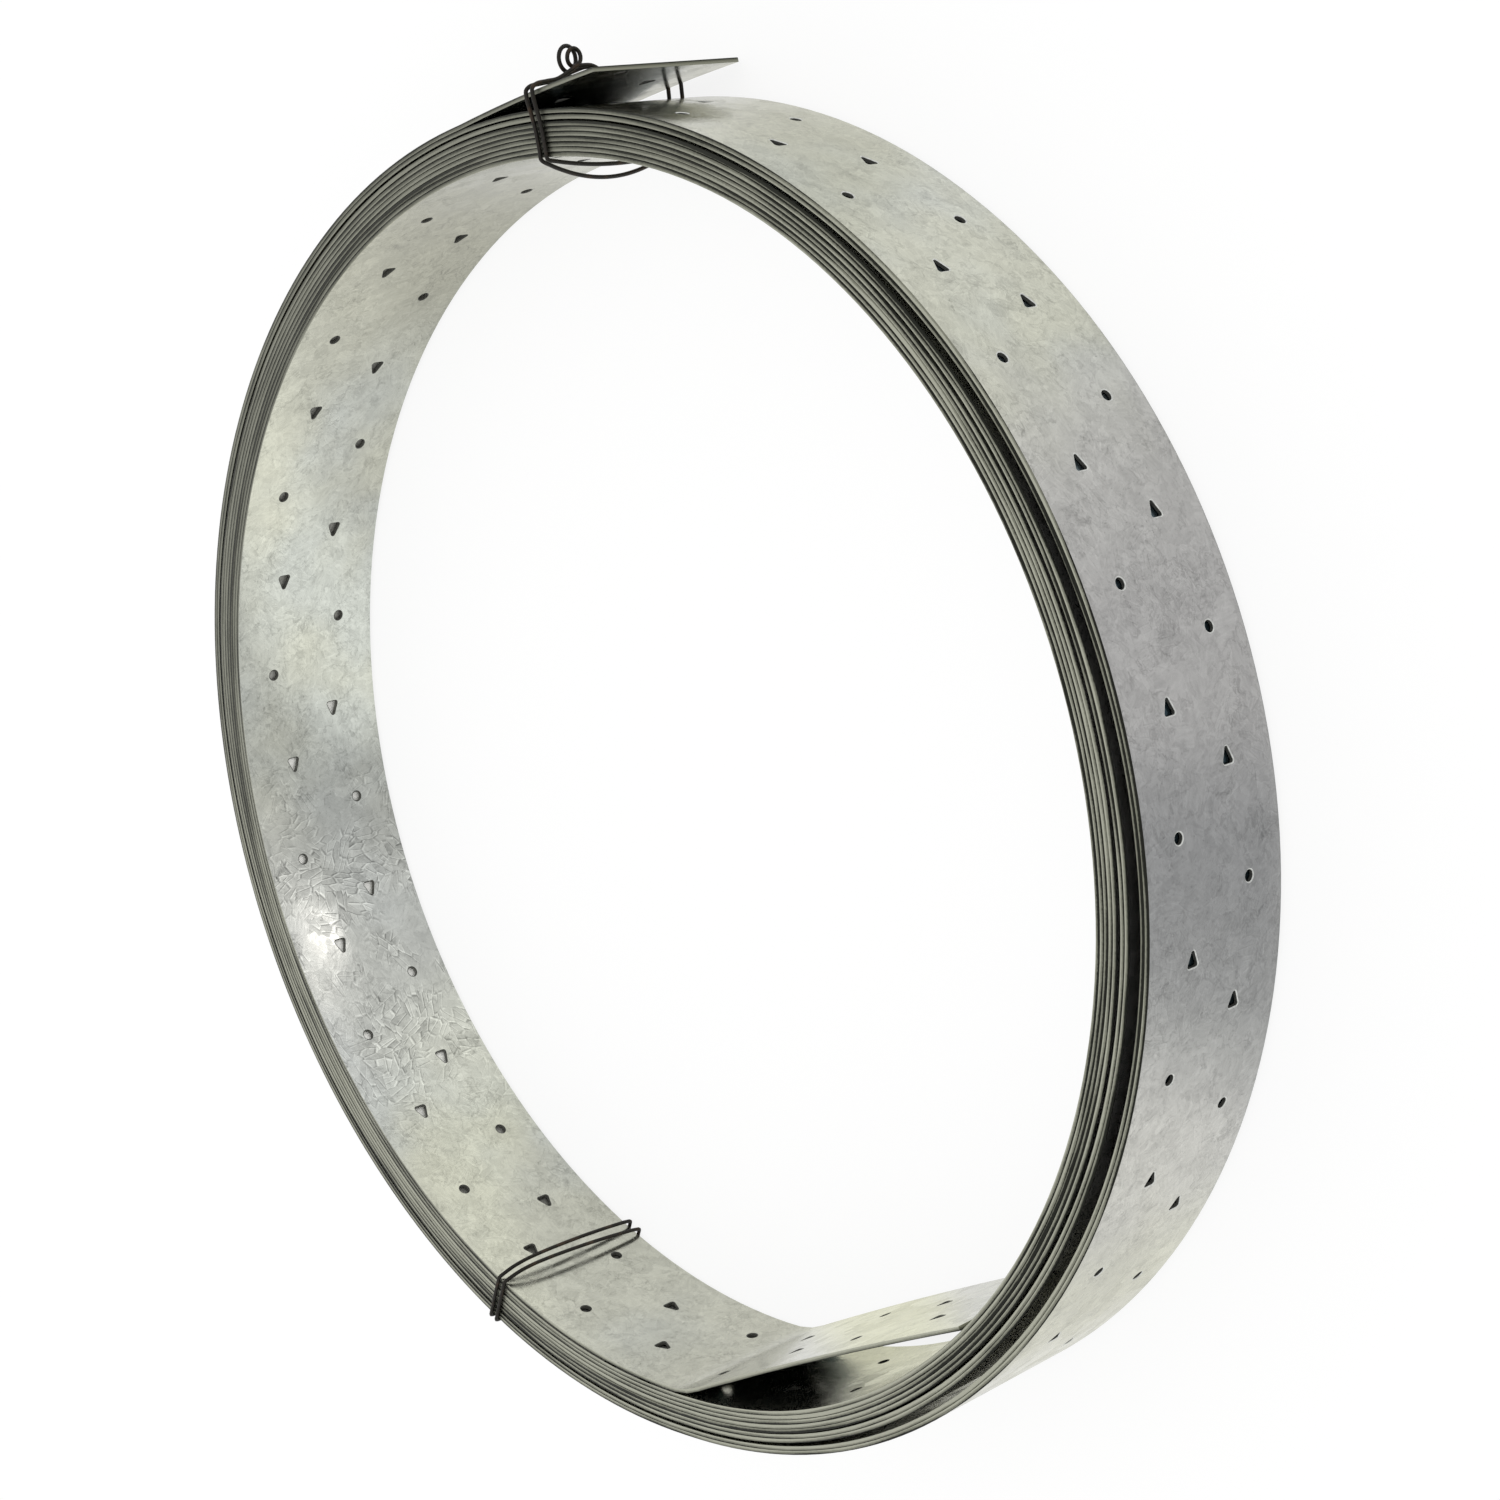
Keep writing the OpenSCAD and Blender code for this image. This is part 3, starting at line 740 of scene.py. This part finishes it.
# hole walls, lips, covered faces: painted shade on the walls (partly their own bare steel), on the bore lips
# and on the covered faces; the rim lips are a painted highlight
plainTones = {"speck": 900, "speckDark": 0.75, "tailX": (-0.06, -0.015), "tailY": (0.1, 0.2),
              "glintSideAt": 242, "glintSideEdge": (0.87, 0.95)}


# painted light: the covered face is paler where it comes out from under the outer end
def litByTail(f, spot):  # where the covered turn comes out from under the outer end
    x, y = f.parts(spot)[:2]
    return f.between(x, *plainTones["tailX"]) * f.between(y, *plainTones["tailY"])


# painted light: the face seen through the bore holes is pale where the glint falls, and dark elsewhere as
# painted shade
def litByGlint(f, spot):  # around the long crystals
    return f.between(f.toward(spot, plainTones["glintSideAt"]), *plainTones["glintSideEdge"])


def plainFinish(name, colour, metallic, roughness, other=None, where=None):
    f = newFinish(name)
    spot = f.place()
    speck = f.between(f.noise(spot, plainTones["speck"], 2, 0.5, "3D"), 0.35, 0.65)
    tone = f.blend(speck, colour, tuple(c * plainTones["speckDark"] for c in colour))
    if where:
        tone = f.blend(where(f, spot), tone, other)
    f.set(BaseColor=tone, Metallic=metallic, Roughness=roughness)
    return f.owner


wireTones = {
    "black": (0.014, 0.012, 0.009), "rust": (0.045, 0.028, 0.016), "scale": (0.06, 0.057, 0.052),
    "rustSpots": 130, "scaleSpots": 420, "scalePart": 0.5,
    "metallic": 0.6, "roughness": 0.36, "relief": 0.05 * mm,
}


def wireFinish():
    f, tones = newFinish("blackWire"), wireTones
    spot = f.place()
    scale = f.noise(spot, tones["scaleSpots"], 4, 0.6, "3D")
    rust = f.noise(spot, tones["rustSpots"], 3, 0.6, "3D")
    tone = f.blend(f.between(rust, 0.5, 0.68), tones["black"], tones["rust"])
    tone = f.blend(f.between(scale, 0.55, 0.8) * tones["scalePart"], tone, tones["scale"])
    f.set(BaseColor=tone, Metallic=tones["metallic"], Roughness=tones["roughness"] + scale * 0.2,
          Normal=f.bump(scale, tones["relief"]))
    return f.owner


finishes = [zincFinish(), edgeFinish(),  # in the order of the marks
            # hole walls: bare punched steel, darkened further as painted shade
            plainFinish("rimHoleWall", (0.1, 0.1, 0.09), 0.15, 0.4),
            plainFinish("boreHoleWall", (0.12, 0.12, 0.105), 0.15, 0.4),
            # covered face: dark and bluish, painted shade and a painted dark reflection, paler by the outer
            # end as painted light
            plainFinish("coveredFaceShade", (0.034, 0.06, 0.073), 0.9, 0.25, (0.15, 0.185, 0.2), litByTail),
            # pale rim lips: painted highlight; dark bore lips: painted shade
            plainFinish("rimHoleLip", (0.68, 0.69, 0.66), 0.2, 0.3),
            plainFinish("boreHoleLip", (0.05, 0.05, 0.042), 0.2, 0.4),
            # face under the bore: dark as painted shade, pale where the glint falls as painted light
            plainFinish("faceUnderBoreShadeAndLight", (0.26, 0.26, 0.235), 0.3, 0.4, (0.92, 0.92, 0.88), litByGlint)]
blackWire = wireFinish()
print("finishes", len(bpy.data.materials))
place(strapMesh(), "strap", finishes)
place(wireMesh("upperTieWire", upperRoute()), "upper_tie_wire", [blackWire])
place(wireMesh("lowerTieWire", lowerRoute()), "lower_tie_wire", [blackWire])

# floor, light and camera
view = {"azimuth": 45.50, "elevation": 17.32, "lens": 68.79, "sensor": 36, "away": 1.0956,
        "aim": (0.08225, 0.04081, 0.0)}  # from the axis, on the near end


def setCamera():
    az, el = math.radians(view["azimuth"]), math.radians(view["elevation"])
    back = Vector((math.sin(az) * math.cos(el), math.sin(el), math.cos(az) * math.cos(el)))
    right = Vector((math.cos(az), 0, -math.sin(az)))
    up = back.cross(right)
    data = bpy.data.cameras.new("camera")
    data.lens, data.sensor_width = view["lens"], view["sensor"]
    camera = bpy.data.objects.new("camera", data)
    bpy.context.scene.collection.objects.link(camera)
    stand = Vector(view["aim"]) + Vector((0, axisY, strapHigh.z)) + back * view["away"]
    camera.matrix_world = Matrix.Translation(stand) @ Matrix((right, up, back)).transposed().to_4x4()
    bpy.context.scene.camera = camera


stage = {
    "size": 6, "floor": (0.92, 0.92, 0.92), "matt": 0.9, "shown": 0.84, "white": 1.03, "sky": 1.0,
    # what the metal mirrors of the floor: (degrees round the coil, half width, more or less light, its tint)
    "outside": [(91, 20, -0.34, (1, 0.95, 0.92)), (72, 32, -0.2, (1, 1.02, 0.92)), (35, 30, 0.1, (1, 1, 0.8)),
                (128, 25, 0.03, (1, 1, -0.6)), (9, 14, -0.16, (1, 1, 1.35)), (-36, 20, -0.6, (1, 0.9, 0.78)),
                (112, 16, 0.16, (1, 1, 0.9)), (205, 22, -0.3, (1, 1, 0.9)), (262, 26, -0.25, (1, 1, 0.9))],
    "inside": [(271, 14, 0.4, (1, 1, 0.9)), (253, 9, -0.25, (1, 1, 1)), (224, 13, 0.24, (1, 1, 0.75)),
               (198, 14, -0.05, (1, 1, 1)), (319, 20, -0.2, (1, 1, 1)), (160, 14, 0.06, (1, 1, -2.0)),
               (60, 30, -0.2, (1, 1, 0.9))],
    "outsideFrom": -10 * mm, "outsideTo": 30 * mm,  # past the bore's radius
    "glint": (-0.1485, -0.0735, 0.004), "glintTurn": 32, "glintLong": 0.038, "glintWide": 0.009,
    "glintPower": 0.0023, "glintColour": (1, 0.94, 0.93),
}


def setFloor():
    mesh = bpy.data.meshes.new("floor")
    s = stage["size"]
    mesh.from_pydata([(-s, -s, 0), (s, -s, 0), (s, s, 0), (-s, s, 0)], [], [(0, 1, 2, 3)])
    floor = bpy.data.objects.new("floor", mesh)
    bpy.context.scene.collection.objects.link(floor)
    f = newFinish("paleFloor")
    f.set(BaseColor=stage["floor"], Roughness=stage["matt"])
    path = f.add("ShaderNodeLightPath").socket.node
    glossy = Tone(f, path.outputs["Is Glossy Ray"])
    seen = Tone(f, path.outputs["Is Camera Ray"]) + glossy
    x, y = f.parts(f.place())[:2]
    y = y - axisY
    far = (x * x + y * y) ** 0.5
    outside = f.between(far, strap["bore"] + stage["outsideFrom"], strap["bore"] + stage["outsideTo"])
    mirrored = (stage["white"],) * 3
    for lobes, part in ((stage["outside"], outside), (stage["inside"], 1 - outside)):
        for deg, half, more, tint in lobes:
            sine, cosine = turned(deg)
            amount = f.between((x * sine + y * cosine) / far, turned(half)[1], 1.0) * part * glossy * more
            mirrored = f.vector("ADD", mirrored, f.vector("MULTIPLY", amount, tint))
    glow = f.add("ShaderNodeEmission", None, {"Color": mirrored, "Strength": 1.0})
    matt = Tone(f, f.surface.outputs[0])
    mixed = f.add("ShaderNodeMixShader", None, {0: seen * stage["shown"], 1: matt, 2: glow})
    f.tree.links.new(mixed.socket, f.tree.nodes["Material Output"].inputs["Surface"])
    mesh.materials.append(f.owner)


def setLight():
    world = bpy.data.worlds.new("studio")
    f = Finish(world)
    f.feed(f.tree.nodes["Background"].inputs["Color"], (1, 1, 1))
    f.feed(f.tree.nodes["Background"].inputs["Strength"], stage["sky"])
    bpy.context.scene.world = world
    lamp = bpy.data.lights.new("glint", "AREA")
    lamp.shape, lamp.size, lamp.size_y = "RECTANGLE", stage["glintLong"], stage["glintWide"]
    lamp.energy, lamp.color = stage["glintPower"], stage["glintColour"]
    holder = bpy.data.objects.new("glint", lamp)
    bpy.context.scene.collection.objects.link(holder)
    holder.location = Vector(stage["glint"]) + Vector((0, axisY, 0))
    holder.rotation_euler = (math.pi, 0, math.radians(stage["glintTurn"]))  # lies on the floor and shines up
    holder.visible_camera = False


setCamera()
setFloor()
setLight()
bpy.context.scene.view_settings.view_transform = "Standard"
